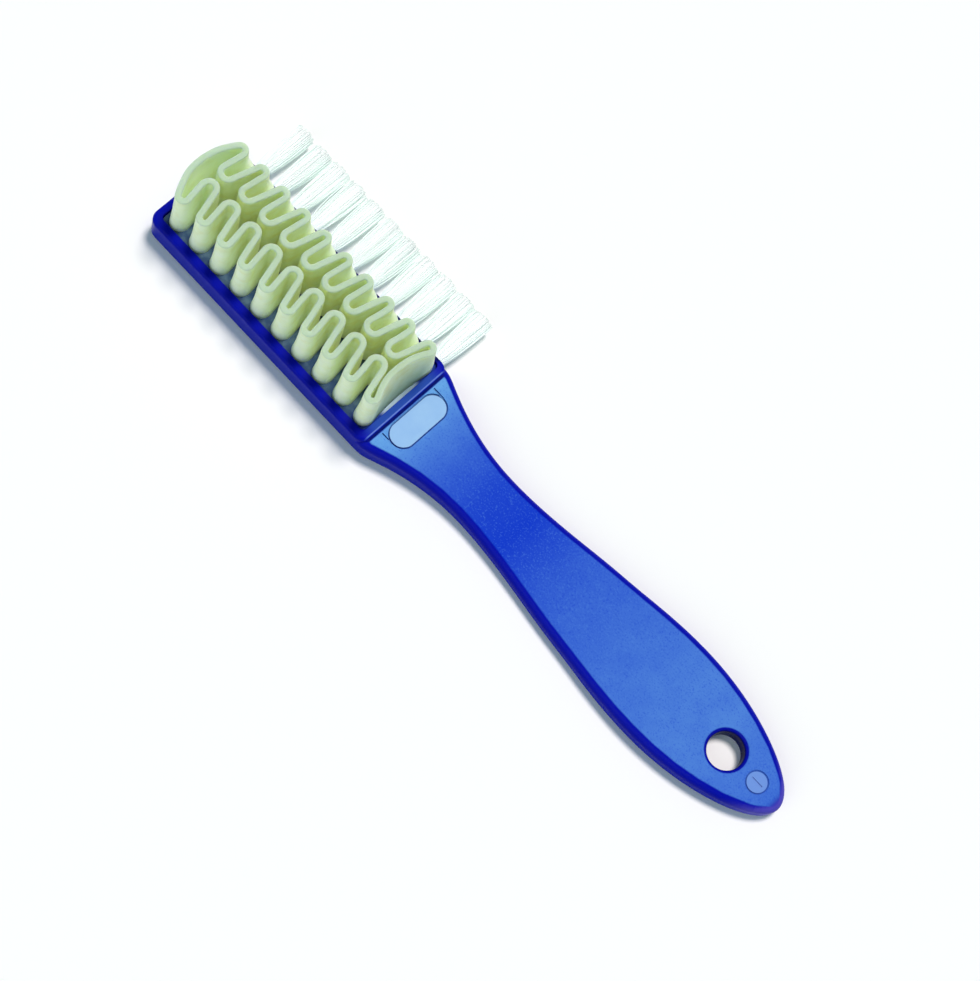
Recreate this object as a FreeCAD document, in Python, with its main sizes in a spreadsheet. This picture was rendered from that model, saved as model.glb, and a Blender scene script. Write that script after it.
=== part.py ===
"""Suede brush: a moulded handle with a tray head, a wavy crepe insert and a side row of tufts.

Frame: the brush lies on its flat back at Z = 0 and +Z is up. The origin is on that back, on the
handle's centre line, half way along the brush. +X runs to the hanging end, +Y to the bristles.
Lengths are millimetres.
"""
import FreeCAD
import Part
import math
import os

import Sketcher
from FreeCAD import Placement, Rotation, Vector

SIZES = (
    # Overall plan of the moulded handle
    ("total_length", 190.0, "far end of the head to the tip of the handle"),
    ("head_length", 70.2, "length of the tray head"),
    ("head_width", 26.8, "width of the tray head"),
    ("head_height", 8.1, "back of the brush to the top of the rim"),
    ("head_corner", 2.8, "plan radius of the head's two far corners"),
    # Plan curve from the head's shoulder round to the tip, as control points
    ("shoulder_start", 2.2, "where the sides leave the straight, before the head's end"),
    ("shoulder_lead", 0.7, "straight lead of the shoulder, past the head's end"),
    ("shoulder_reach", 1.7, "turn of the shoulder, past the head's end"),
    ("shoulder_drop", 0.95, "how far the turn of the shoulder lies inside the head's side"),
    ("neck_reach", 22.1, "neck control point, past the head's end"),
    ("neck_half", 5.45, "half width at the neck control point"),
    ("grip_spread", 4.6, "distance between the two grip control points, midway to the belly"),
    ("grip_half", 10.95, "half width at the grip control points"),
    ("belly_reach", 24.8, "belly control point, before the tip"),
    ("belly_half", 15.55, "half width at the belly control point"),
    ("tip_half", 5.4, "half width at the tip's control point"),
    # Height of the handle's top face along its length
    ("rim_step", 0.95, "drop from the rim's top to the handle's top face"),
    ("crest_reach", 7.0, "level stretch of the top face past the head's end"),
    ("fall_reach", 20.0, "falling control point, past the head's end"),
    ("fall_height", 5.9, "height of the falling control point"),
    ("waist_spread", 21.0, "distance between the two waist control points, midway along"),
    ("waist_height", 4.65, "height of the two waist control points"),
    ("rise_reach", 40.0, "where the top face levels out again, before the tip"),
    ("level_reach", 30.0, "start of the level tail, before the tip"),
    ("tail_height", 5.6, "height of the level tail"),
    ("nose_reach", 4.5, "length of the nose that falls away at the tip"),
    ("nose_radius", 8.0, "side radius of the nose"),
    ("top_round", 1.8, "rounding of the handle's top edge"),
    ("base_round", 1.5, "rounding of the handle's bottom edge"),
    # Raised rim and tray of the head
    ("rim_side", 2.2, "width of the rim along the side away from the bristles"),
    ("rim_rear", 1.1, "width of the rim along the bristle side"),
    ("rim_far", 1.9, "width of the rim at the far end"),
    ("rim_near", 2.4, "width of the rim beside the handle"),
    ("rim_corner", 2.9, "plan radius of the rim's two corners beside the handle"),
    ("rim_round", 0.9, "rounding of the rim's outer top edge"),
    ("tray_depth", 1.7, "depth of the tray below the rim"),
    ("tray_corner", 1.2, "plan radius of the tray's corners"),
    # Hanging hole and moulded marks
    ("hang_reach", 17.1, "hanging hole's axis, before the tip"),
    ("hang_diameter", 8.6, "bore of the hanging hole"),
    ("hang_round", 1.2, "rounding of the hanging hole's two edges"),
    ("mark_gap", 1.3, "gap between the hanging hole's rounding and the round mould mark"),
    ("mark_diameter", 5.5, "outside of the mould mark's ring"),
    ("mark_groove", 0.35, "width of the mould mark's ring"),
    ("mark_line", 3.0, "length of the short line in the mould mark"),
    ("mark_depth", 0.2, "depth of the mould mark"),
    ("panel_gap", 0.35, "gap between the head's end and the outlined panel"),
    ("panel_width", 6.8, "outlined panel, along the handle"),
    ("panel_length", 16.0, "outlined panel, across the handle"),
    ("panel_groove", 0.35, "width of the panel's outline"),
    ("panel_depth", 0.45, "depth of the panel's outline below the handle's top face"),
    ("tick_length", 3.2, "length of the two tick lines, from the panel's middle to the head"),
    ("tick_overhang", 0.12, "how far the tick lines lie outside the panel's ends"),
    # Row of bristle tufts in the head's side
    ("tuft_spacing", 5.9, "distance wanted between tufts"),
    ("tuft_first", 7.1, "first tuft, from the head's far end"),
    ("tuft_last", 4.1, "last tuft, from the head's end beside the handle"),
    ("tuft_rise", 0.7, "height of the row above the middle of the tray's floor plate"),
    ("tuft_hole", 3.2, "diameter of a tuft's hole"),
    ("tuft_hole_depth", 8.0, "depth of a tuft's hole"),
    ("tuft_length", 15.7, "free length of a tuft"),
    ("tuft_gap", 0.7, "gap between neighbouring tufts at their cut ends"),
    ("tuft_clearance", 0.05, "gap between a tuft's root and its hole"),
    ("tuft_bottom_gap", 0.2, "gap under a tuft's root"),
    # Flat wire anchors that hold the folded tufts
    ("anchor_thickness", 0.35, "thickness of the flat anchor wire"),
    ("anchor_depth", 1.5, "width of the anchor wire along the hole"),
    ("anchor_fold", 0.6, "bristle folded under the anchor wire"),
    ("anchor_clearance", 0.04, "gap round the anchor wire"),
    # Crepe insert
    ("crepe_height", 16.0, "height of the crepe wall above the tray's floor"),
    ("crepe_plate", 0.6, "thickness of the plate that joins the crepe's wall at its foot"),
    ("crepe_plate_gap", 0.15, "gap between the crepe's plate and the tray's walls"),
    ("crepe_wall_base", 2.0, "thickness of the crepe wall at its foot"),
    ("crepe_taper", 0.5, "how much thinner the crepe wall is at its top"),
    ("crepe_side_gap", 0.75, "gap between the crepe's foot and the rim away from the bristles"),
    ("crepe_rear_gap", 0.5, "gap between the crepe's foot and the rim on the bristle side"),
    ("crepe_near_gap", 0.3, "gap between the crepe's foot and the rim beside the handle"),
    ("crepe_far_gap", 0.35, "gap between the crepe's foot and the rim at the far end"),
    ("crepe_fold_gap", 0.25, "gap between the far end wall and the last fold at the foot"),
    ("crepe_middle_gap", 0.3, "gap between the two sides' inner folds at the foot"),
    ("lobe_hollow", 0.2, "inside radius of the outer lobes at the foot"),
    ("fold_hollow", 0.7, "inside radius of the inner folds at the foot"),
    ("lobe_opening", 1.3, "width wanted inside the outer lobes, between the folds' feet"),
    ("crepe_lean", 1.2, "how far the inner folds lean to the far end"),
    ("far_lean", 2.2, "how far the far end wall's top leans out over its foot"),
    ("near_sag_base", 1.2, "inward sag of the near end wall at its foot"),
    ("near_sag_top", 2.3, "inward sag of the near end wall at its top"),
)

# Places on the brush, as expressions on the sheet
CENTRE_LINE = "(0 * Sizes.total_length)"
FAR_END = "(-Sizes.total_length / 2)"
TIP = "(Sizes.total_length / 2)"
HEAD_END = f"({FAR_END} + Sizes.head_length)"
HEAD_HALF = "(Sizes.head_width / 2)"
TRAY_FAR = f"({FAR_END} + Sizes.rim_far)"
TRAY_NEAR = f"({HEAD_END} - Sizes.rim_near)"
TRAY_FRONT = f"({HEAD_HALF} - Sizes.rim_side)"
TRAY_REAR = f"({HEAD_HALF} - Sizes.rim_rear)"
TRAY_FLOOR = "(Sizes.head_height - Sizes.tray_depth)"
SHOULDER_HEIGHT = "(Sizes.head_height - Sizes.rim_step)"
NECK_X = f"({HEAD_END} + Sizes.neck_reach)"
BELLY_X = f"({TIP} - Sizes.belly_reach)"
GRIP_X = f"({NECK_X} / 2 + {BELLY_X} / 2)"
FALL_X = f"({HEAD_END} + Sizes.fall_reach)"
RISE_X = f"({TIP} - Sizes.rise_reach)"
WAIST_X = f"({FALL_X} / 2 + {RISE_X} / 2)"
HANG_X = f"({TIP} - Sizes.hang_reach)"
MARK_X = (f"({HANG_X} + Sizes.hang_diameter / 2 + Sizes.hang_round + Sizes.mark_gap"
          " + Sizes.mark_diameter / 2)")
PANEL_X = f"({HEAD_END} + Sizes.panel_gap + Sizes.panel_width / 2)"
TUFT_ROOT = "(Sizes.tuft_hole_depth - Sizes.tuft_bottom_gap)"
TUFT_RUN = "(Sizes.head_length - Sizes.tuft_first - Sizes.tuft_last)"
TUFT_STEPS = f"(round({TUFT_RUN} / Sizes.tuft_spacing))"
TUFT_PITCH = f"({TUFT_RUN} / {TUFT_STEPS})"
TUFT_HEIGHT = f"({TRAY_FLOOR} / 2 + Sizes.tuft_rise)"

# Room that the cutting profiles leave round the solid
CUT_MARGIN = 5.0
VERTICAL = Vector(0, 0, 1)
TOLERANCE = 1e-6
SHORTEST_EDGE = 1e-4

# How far up a face looks, at most for an upright wall and at least for a top or a bottom
UPRIGHT = 0.01
LEVEL = 0.3

doc = FreeCAD.newDocument("suede_brush")
sheet = doc.addObject("Spreadsheet::Sheet", "Sizes")


def fill_sheet():
    """Write each driving size into its own named cell."""
    for row, (alias, number, meaning) in enumerate(SIZES, start=1):
        sheet.set(f"A{row}", meaning)
        sheet.set(f"B{row}", str(number))
        sheet.setAlias(f"B{row}", alias)
    doc.recompute()


def value(expression):
    """Work out an expression on the sheet's sizes."""
    return float(sheet.evalExpression(expression))


def new_body(name):
    """Add a body whose label names its file."""
    body = doc.addObject("PartDesign::Body", name)
    body.Label = name
    return body


def new_sketch(body, name, role, lift=None):
    """Add a sketch on one of the body's own planes, moved along the plane's normal."""
    sketch = body.newObject("Sketcher::SketchObject", name)
    plane = next(item for item in body.Origin.OriginFeatures if item.Role == role)
    sketch.AttachmentSupport = [(plane, "")]
    sketch.MapMode = "FlatFace"
    if lift is not None:
        sketch.setExpression("AttachmentOffset.Base.z", lift)
    return sketch


def bind(sketch, constraint, expression):
    """Add a constraint and drive its value by an expression."""
    index = sketch.addConstraint(constraint)
    sketch.setExpression(f"Constraints[{index}]", expression)


def pin(sketch, geometry, point, x, y):
    """Hold a point of a sketch at two expressions from the sketch's origin."""
    bind(sketch, Sketcher.Constraint("DistanceX", -1, 1, geometry, point, value(x)), x)
    bind(sketch, Sketcher.Constraint("DistanceY", -1, 1, geometry, point, value(y)), y)


def join(sketch, first, second, kind="Coincident"):
    """Join the end of one curve to the start of the next."""
    sketch.addConstraint(Sketcher.Constraint(kind, first, 2, second, 1))


def spot(x, y):
    """Return the sketch point at two expressions."""
    return Vector(value(x), value(y), 0)


def add_line(sketch, start, end):
    """Add a straight edge between two points given as pairs of expressions."""
    return sketch.addGeometry(Part.LineSegment(spot(*start), spot(*end)), False)


def add_arc(sketch, centre, radius, first_degrees, last_degrees):
    """Add an arc with a pinned centre and a driven radius."""
    circle = Part.Circle(spot(*centre), VERTICAL, value(radius))
    arc = Part.ArcOfCircle(circle, math.radians(first_degrees), math.radians(last_degrees))
    index = sketch.addGeometry(arc, False)
    pin(sketch, index, 3, *centre)
    bind(sketch, Sketcher.Constraint("Radius", index, value(radius)), radius)
    return index


def add_circle(sketch, centre, radius):
    """Add a circle with a pinned centre and a driven radius."""
    index = sketch.addGeometry(Part.Circle(spot(*centre), VERTICAL, value(radius)), False)
    pin(sketch, index, 3, *centre)
    bind(sketch, Sketcher.Constraint("Radius", index, value(radius)), radius)


def add_spline(sketch, poles, free_end=False):
    """Add a cubic curve whose control points are pairs of expressions, the last free to be joined."""
    points = [spot(x, y) for x, y in poles]
    curve = Part.BSplineCurve()
    curve.buildFromPoles(points, False, 3)
    index = sketch.addGeometry(curve, False)
    alignment = "InternalAlignment:Sketcher::BSplineControlPoint"
    for number, (x, y) in enumerate(poles):
        pole = sketch.addGeometry(Part.Circle(points[number], VERTICAL, 1.0), True)
        sketch.addConstraint(Sketcher.Constraint("Weight", pole, 1.0))
        sketch.addConstraint(Sketcher.Constraint(alignment, pole, 3, index, number))
        if not (free_end and number == len(poles) - 1):
            pin(sketch, pole, 3, x, y)
    return index


def add_polygon(sketch, corners):
    """Add a closed outline of straight edges through pinned corners."""
    following = corners[1:] + corners[:1]
    edges = [add_line(sketch, start, end) for start, end in zip(corners, following)]
    for edge, corner in zip(edges, corners):
        pin(sketch, edge, 1, *corner)
    for edge, after in zip(edges, edges[1:] + edges[:1]):
        join(sketch, edge, after)


def add_box(sketch, low_x, high_x, low_y, high_y):
    """Add a rectangle between two expressions each way."""
    add_polygon(sketch, [(low_x, low_y), (high_x, low_y), (high_x, high_y), (low_x, high_y)])


def add_round_box(sketch, low_x, high_x, low_y, high_y, low_radius, high_radius):
    """Add a rectangle between two expressions each way, with one corner radius at each X end."""
    low = f"({low_x} + {low_radius})"
    high = f"({high_x} - {high_radius})"
    low_start = f"({low_y} + {low_radius})"
    low_end = f"({high_y} - {low_radius})"
    high_start = f"({low_y} + {high_radius})"
    high_end = f"({high_y} - {high_radius})"
    corners = [
        add_arc(sketch, (low, low_start), low_radius, 180, 270),
        add_arc(sketch, (high, high_start), high_radius, 270, 360),
        add_arc(sketch, (high, high_end), high_radius, 0, 90),
        add_arc(sketch, (low, low_end), low_radius, 90, 180),
    ]
    sides = [
        add_line(sketch, (low, low_y), (high, low_y)),
        add_line(sketch, (high_x, high_start), (high_x, high_end)),
        add_line(sketch, (high, high_y), (low, high_y)),
        add_line(sketch, (low_x, low_end), (low_x, low_start)),
    ]
    for corner, side, after in zip(corners, sides, corners[1:] + corners[:1]):
        join(sketch, corner, side, "Tangent")
        join(sketch, side, after, "Tangent")


def add_stadium(sketch, middle_x, half_x, half_y):
    """Add a slot outline with round ends, its length across the handle."""
    straight = f"({half_y} - {half_x})"
    top = add_arc(sketch, (middle_x, straight), half_x, 0, 180)
    bottom = add_arc(sketch, (middle_x, f"-{straight}"), half_x, 180, 360)
    low_x = f"({middle_x} - {half_x})"
    high_x = f"({middle_x} + {half_x})"
    left = add_line(sketch, (low_x, straight), (low_x, f"-{straight}"))
    right = add_line(sketch, (high_x, f"-{straight}"), (high_x, straight))
    for first, second in ((top, left), (left, bottom), (bottom, right), (right, top)):
        join(sketch, first, second, "Tangent")


def add_pad(body, sketch, name, length):
    """Raise a sketch into a solid."""
    pad = body.newObject("PartDesign::Pad", name)
    pad.Profile = sketch
    pad.setExpression("Length", length)
    doc.recompute()
    return pad


def add_pocket(body, sketch, name, depth, both_ways=False, turned=False):
    """Cut a sketch out of the body, against the sketch's normal unless turned."""
    pocket = body.newObject("PartDesign::Pocket", name)
    pocket.Profile = sketch
    pocket.setExpression("Length", depth)
    pocket.Reversed = turned
    if both_ways:
        pocket.SideType = "Symmetric"
    doc.recompute()
    return pocket


def add_fillet(body, feature, name, edges, radius):
    """Round the named edges of the body's last feature."""
    fillet = body.newObject("PartDesign::Fillet", name)
    fillet.Base = (feature, edges)
    fillet.setExpression("Radius", radius)
    doc.recompute()
    return fillet


def slope(face, point):
    """Return how far up a face looks at a point: 1 up, 0 upright, -1 down."""
    u, v = face.Surface.parameter(point)
    return face.normalAt(u, v).z


def border(feature, upward, keep=lambda edge: True):
    """Name the edges where an upright wall meets a face that looks up, or down."""
    names = []
    for number, edge in enumerate(feature.Shape.Edges, start=1):
        middle = edge.valueAt((edge.FirstParameter + edge.LastParameter) / 2)
        faces = feature.Shape.ancestorsOfType(edge, Part.Face)
        slopes = sorted(abs(slope(face, middle)) for face in faces)
        looks = max((slope(face, middle) for face in faces), key=abs)
        meets_wall = slopes[0] < UPRIGHT and slopes[-1] > LEVEL
        if meets_wall and (looks > 0) == upward and keep(edge):
            names.append(f"Edge{number}")
    return names


def plan_outline(body):
    """Outline of the whole handle: the square head, then one flowing curve to the tip."""
    sketch = new_sketch(body, "PlanOutline", "XY_Plane")
    corner = f"({FAR_END} + Sizes.head_corner)"
    corner_y = f"({HEAD_HALF} - Sizes.head_corner)"
    start = f"({HEAD_END} - Sizes.shoulder_start)"

    def side_poles(sign):
        half = [
            (start, HEAD_HALF),
            (f"{HEAD_END} + Sizes.shoulder_lead", HEAD_HALF),
            (f"{HEAD_END} + Sizes.shoulder_reach", f"({HEAD_HALF} - Sizes.shoulder_drop)"),
            (NECK_X, "Sizes.neck_half"),
            (f"{GRIP_X} - Sizes.grip_spread / 2", "Sizes.grip_half"),
            (f"{GRIP_X} + Sizes.grip_spread / 2", "Sizes.grip_half"),
            (BELLY_X, "Sizes.belly_half"),
            (TIP, "Sizes.tip_half"),
            (TIP, CENTRE_LINE),
        ]
        return [(x, f"{sign} * {y}") for x, y in half]

    front = add_spline(sketch, side_poles(-1), free_end=True)
    rear = add_spline(sketch, list(reversed(side_poles(1))))
    rear_side = add_line(sketch, (start, HEAD_HALF), (corner, HEAD_HALF))
    rear_corner = add_arc(sketch, (corner, corner_y), "Sizes.head_corner", 90, 180)
    far_side = add_line(sketch, (FAR_END, corner_y), (FAR_END, f"-{corner_y}"))
    front_corner = add_arc(sketch, (corner, f"-{corner_y}"), "Sizes.head_corner", 180, 270)
    front_side = add_line(sketch, (corner, f"-{HEAD_HALF}"), (start, f"-{HEAD_HALF}"))
    join(sketch, front, rear)
    join(sketch, rear, rear_side)
    join(sketch, rear_side, rear_corner, "Tangent")
    join(sketch, rear_corner, far_side, "Tangent")
    join(sketch, far_side, front_corner, "Tangent")
    join(sketch, front_corner, front_side, "Tangent")
    join(sketch, front_side, front)
    return sketch


def top_profile(body):
    """Side view of everything above the handle's top face, which is cut away."""
    sketch = new_sketch(body, "TopProfile", "XZ_Plane")
    above = f"(Sizes.head_height + {CUT_MARGIN})"
    before = f"({FAR_END} - {CUT_MARGIN})"
    beyond = f"({TIP} + Sizes.nose_radius - Sizes.nose_reach)"
    nose = (f"({TIP} - Sizes.nose_reach)", "(Sizes.tail_height - Sizes.nose_radius)")
    poles = [
        (HEAD_END, SHOULDER_HEIGHT),
        (f"{HEAD_END} + Sizes.crest_reach", SHOULDER_HEIGHT),
        (FALL_X, "Sizes.fall_height"),
        (f"{WAIST_X} - Sizes.waist_spread / 2", "Sizes.waist_height"),
        (f"{WAIST_X} + Sizes.waist_spread / 2", "Sizes.waist_height"),
        (RISE_X, "Sizes.tail_height"),
        (f"{TIP} - Sizes.level_reach", "Sizes.tail_height"),
    ]
    level = add_line(sketch, (before, SHOULDER_HEIGHT), poles[0])
    dip = add_spline(sketch, poles)
    tail = add_line(sketch, poles[-1], (nose[0], "Sizes.tail_height"))
    fall = add_arc(sketch, nose, "Sizes.nose_radius", 0, 90)
    rise = add_line(sketch, (beyond, nose[1]), (beyond, above))
    lid = add_line(sketch, (beyond, above), (before, above))
    back = add_line(sketch, (before, above), (before, SHOULDER_HEIGHT))
    join(sketch, level, dip)
    join(sketch, dip, tail)
    sketch.addConstraint(Sketcher.Constraint("Tangent", tail, 2, fall, 2))
    sketch.addConstraint(Sketcher.Constraint("Tangent", fall, 1, rise, 1))
    join(sketch, rise, lid)
    join(sketch, lid, back)
    join(sketch, back, level)
    pin(sketch, level, 1, before, SHOULDER_HEIGHT)
    pin(sketch, lid, 1, beyond, above)
    pin(sketch, back, 1, before, above)
    return sketch


def make_handle():
    """One moulding: blank, dipped top, rounded edges, rim, tray, tuft holes, hanging hole, marks."""
    body = new_body("handle")
    add_pad(body, plan_outline(body), "Blank", "Sizes.head_height")
    dipped = add_pocket(body, top_profile(body), "Dip", "2 * Sizes.head_width", both_ways=True)
    softened = add_fillet(body, dipped, "TopEdge", border(dipped, True), "Sizes.top_round")
    add_fillet(body, softened, "BaseEdge", border(softened, False), "Sizes.base_round")
    add_rim(body)
    add_tuft_holes(body)
    add_hanging_hole(body)
    add_panel(body)
    add_mould_mark(body)
    return body


def add_rim(body):
    """Raise the head's rim over the blank and sink the tray into it."""
    sketch = new_sketch(body, "RimOutline", "XY_Plane", "Sizes.base_round")
    add_round_box(sketch, FAR_END, HEAD_END, f"-{HEAD_HALF}", HEAD_HALF,
                  "Sizes.head_corner", "Sizes.rim_corner")
    rim = add_pad(body, sketch, "Rim", "Sizes.head_height - Sizes.base_round")
    top = value("Sizes.head_height")
    edges = border(rim, True, lambda edge: abs(edge.BoundBox.ZMin - top) < TOLERANCE)
    add_fillet(body, rim, "RimEdge", edges, "Sizes.rim_round")
    sketch = new_sketch(body, "TrayOutline", "XY_Plane", "Sizes.head_height")
    add_round_box(sketch, TRAY_FAR, TRAY_NEAR, f"-{TRAY_FRONT}", TRAY_REAR,
                  "Sizes.tray_corner", "Sizes.tray_corner")
    add_pocket(body, sketch, "Tray", "Sizes.tray_depth")


def add_tuft_holes(body):
    """Drill the row of blind holes into the head's bristle side."""
    sketch = new_sketch(body, "TuftHole", "XZ_Plane", f"-{HEAD_HALF}")
    add_circle(sketch, (tuft_place(0), TUFT_HEIGHT), "Sizes.tuft_hole / 2")
    hole = add_pocket(body, sketch, "FirstTuftHole", "Sizes.tuft_hole_depth", turned=True)
    row = body.newObject("PartDesign::LinearPattern", "TuftHoleRow")
    row.Originals = [hole]
    row.Direction = (sketch, ["H_Axis"])
    row.setExpression("Length", TUFT_RUN)
    row.setExpression("Occurrences", f"{TUFT_STEPS} + 1")
    body.Tip = row
    doc.recompute()


def add_hanging_hole(body):
    """Bore the hanging hole and round its two edges."""
    sketch = new_sketch(body, "HangingHole", "XY_Plane", "Sizes.head_height")
    add_circle(sketch, (HANG_X, CENTRE_LINE), "Sizes.hang_diameter / 2")
    bore = add_pocket(body, sketch, "Bore", "2 * Sizes.head_height")
    middle = Vector(value(HANG_X), 0, 0)
    radius = value("Sizes.hang_diameter / 2")

    def of_bore(edge):
        centre = Vector(edge.BoundBox.Center.x, edge.BoundBox.Center.y, 0)
        width = edge.BoundBox.XLength
        return centre.distanceToPoint(middle) < TOLERANCE and abs(width - 2 * radius) < TOLERANCE

    edges = border(bore, True, of_bore) + border(bore, False, of_bore)
    add_fillet(body, bore, "BoreEdge", edges, "Sizes.hang_round")


def add_panel(body):
    """Cut the outline of the panel beside the rim, and its two tick lines."""
    half_x = "(Sizes.panel_width / 2)"
    half_y = "(Sizes.panel_length / 2)"
    lift = SHOULDER_HEIGHT
    sketch = new_sketch(body, "PanelOutline", "XY_Plane", lift)
    add_stadium(sketch, PANEL_X, half_x, half_y)
    add_stadium(sketch, PANEL_X, f"({half_x} - Sizes.panel_groove)", f"({half_y} - Sizes.panel_groove)")
    add_pocket(body, sketch, "Panel", "Sizes.panel_depth")
    sketch = new_sketch(body, "PanelTicks", "XY_Plane", lift)
    low_x = f"({PANEL_X} - Sizes.tick_length)"
    outside = f"({half_y} + Sizes.tick_overhang)"
    inside = f"({outside} - Sizes.panel_groove)"
    add_box(sketch, low_x, PANEL_X, inside, outside)
    add_box(sketch, low_x, PANEL_X, f"-{outside}", f"-{inside}")
    add_pocket(body, sketch, "Ticks", "Sizes.panel_depth")


def add_mould_mark(body):
    """Cut the small ring and line that the mould leaves near the tip."""
    sketch = new_sketch(body, "MouldMark", "XY_Plane", "Sizes.tail_height")
    centre = (MARK_X, CENTRE_LINE)
    add_circle(sketch, centre, "Sizes.mark_diameter / 2")
    add_circle(sketch, centre, "Sizes.mark_diameter / 2 - Sizes.mark_groove")
    half_line = "Sizes.mark_line / 2"
    half_groove = "(Sizes.mark_groove / 2)"
    add_box(sketch, f"{MARK_X} - {half_line}", f"{MARK_X} + {half_line}", f"-{half_groove}", half_groove)
    add_pocket(body, sketch, "Mark", "Sizes.mark_depth")


def tuft_place(number):
    """Return the expression of a tuft's place along the head."""
    return f"{FAR_END} + Sizes.tuft_first + {number} * {TUFT_PITCH}"


def make_tuft(number):
    """One bundle of bristles: a round root in its hole, flaring to its cut end."""
    body = new_body(f"tuft_{number + 1:02d}")
    sketch = new_sketch(body, "TuftProfile", "XZ_Plane")
    root = "(Sizes.tuft_hole / 2 - Sizes.tuft_clearance)"
    add_polygon(sketch, [
        (CENTRE_LINE, f"-{TUFT_ROOT}"),
        (root, f"-{TUFT_ROOT}"),
        (root, CENTRE_LINE),
        (f"({TUFT_PITCH} - Sizes.tuft_gap) / 2", "Sizes.tuft_length"),
        (CENTRE_LINE, "Sizes.tuft_length"),
    ])
    bundle = body.newObject("PartDesign::Revolution", "Bundle")
    bundle.Profile = sketch
    bundle.ReferenceAxis = (sketch, ["V_Axis"])
    bundle.Angle = 360
    doc.recompute()
    slit = new_sketch(body, "AnchorSlit", "YZ_Plane")
    half = "(Sizes.anchor_thickness / 2 + Sizes.anchor_clearance)"
    low = f"(Sizes.anchor_fold - {TUFT_ROOT})"
    high = f"({low} + Sizes.anchor_depth + 2 * Sizes.anchor_clearance)"
    add_box(slit, f"-{half}", half, low, high)
    add_pocket(body, slit, "Slit", "2 * Sizes.tuft_hole", both_ways=True)
    body.Placement = Placement(Vector(), Rotation(Vector(1, 0, 0), -90))
    body.setExpression("Placement.Base.x", tuft_place(number))
    body.setExpression("Placement.Base.y", HEAD_HALF)
    body.setExpression("Placement.Base.z", TUFT_HEIGHT)
    return body


def make_anchor(number):
    """One flat wire that pins the fold of a tuft near the bottom of its hole."""
    anchor = doc.addObject("Part::Box", f"tuft_anchor_{number + 1:02d}")
    anchor.Label = anchor.Name
    length = "(Sizes.tuft_hole - 2 * Sizes.anchor_clearance)"
    anchor.setExpression("Length", length)
    anchor.setExpression("Width", "Sizes.anchor_depth")
    anchor.setExpression("Height", "Sizes.anchor_thickness")
    seat = f"{HEAD_HALF} - {TUFT_ROOT} + Sizes.anchor_fold + Sizes.anchor_clearance"
    anchor.setExpression("Placement.Base.x", f"{tuft_place(number)} - {length} / 2")
    anchor.setExpression("Placement.Base.y", seat)
    anchor.setExpression("Placement.Base.z", f"{TUFT_HEIGHT} - Sizes.anchor_thickness / 2")
    return anchor


def crepe_bends(rear_reach, far_lean, near_sag):
    """Return the wall's centre line as circles, clockwise from the handle's end.

    Each circle is a centre and a signed radius: plus turns left, minus turns right. The lobes are
    spread evenly between the near end and the last fold, which stands clear of the far end wall.
    """
    wall = value("Sizes.crepe_wall_base")
    lean = value("Sizes.crepe_lean")
    outer = wall / 2 + value("Sizes.lobe_hollow")
    inner = wall / 2 + value("Sizes.fold_hollow")
    front_y = value(f"{TRAY_FRONT} - Sizes.crepe_side_gap") - wall / 2 - outer
    rear_y = value(rear_reach) - wall / 2 - outer
    inner_y = value("Sizes.crepe_middle_gap") / 2 + wall / 2 + inner
    first_x = value(f"{TRAY_NEAR} - Sizes.crepe_near_gap") - wall / 2 - outer
    far_x = value(f"{TRAY_FAR} + Sizes.crepe_far_gap") + wall / 2
    wanted = 2 * (inner + wall / 2) + value("Sizes.lobe_opening")
    steps = round((first_x - far_x - outer) / wanted)
    last_fold_x = far_x + wall + inner + value("Sizes.crepe_fold_gap")
    last_x = (last_fold_x + lean - first_x / (2 * steps)) / (1 - 1 / (2 * steps))
    pitch = (first_x - last_x) / steps

    def side(lobe_y, fold_y):
        row = [(Vector(first_x, lobe_y, 0), -outer)]
        for step in range(steps):
            x = first_x - step * pitch
            row.append((Vector(x - pitch / 2 - lean, fold_y, 0), inner))
            row.append((Vector(x - pitch, lobe_y, 0), -outer))
        return row

    half = (rear_y + front_y) / 2
    middle = (rear_y - front_y) / 2
    far_bulge = last_x - outer - far_x + far_lean
    far_offset = (half ** 2 - far_bulge ** 2) / (2 * far_bulge)
    near_offset = (half ** 2 - near_sag ** 2) / (2 * near_sag)
    far_wall = (Vector(last_x + far_offset, middle, 0), -(far_offset + far_bulge + outer))
    near_wall = (Vector(first_x + near_offset, middle, 0), near_offset + near_sag - outer)
    rear = list(reversed(side(rear_y, inner_y)))
    return [near_wall] + side(-front_y, -inner_y) + [far_wall] + rear


def heading(bend, after):
    """Return the direction of the line that leaves one bend and meets the next."""
    span = after[0] - bend[0]
    turn = after[1] - bend[1]
    squared = span.Length ** 2 - turn ** 2
    length = math.sqrt(squared) if squared > TOLERANCE else 0.0
    return math.atan2(span.y, span.x) - math.atan2(turn, length)


def crepe_outline(bends, offset, height):
    """Return the centre line, moved to its left by an offset, as a closed wire at a height."""
    headings = [heading(bend, after) for bend, after in zip(bends, bends[1:] + bends[:1])]

    def at(bend, direction):
        centre, radius = bend
        left = Vector(-math.sin(direction), math.cos(direction), 0)
        return centre - left * (radius - offset) + Vector(0, 0, height)

    edges = []
    for index, bend in enumerate(bends):
        arrive = headings[index - 1]
        turn = (headings[index] - arrive) % (2 * math.pi)
        if bend[1] < 0:
            turn -= 2 * math.pi
        leave = arrive + turn
        arc = Part.Arc(at(bend, arrive), at(bend, arrive + turn / 2), at(bend, leave))
        edges.append(arc.toShape())
        start = at(bend, leave)
        end = at(bends[(index + 1) % len(bends)], leave)
        if start.distanceToPoint(end) > SHORTEST_EDGE:
            edges.append(Part.LineSegment(start, end).toShape())
    return Part.Wire(edges)


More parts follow.
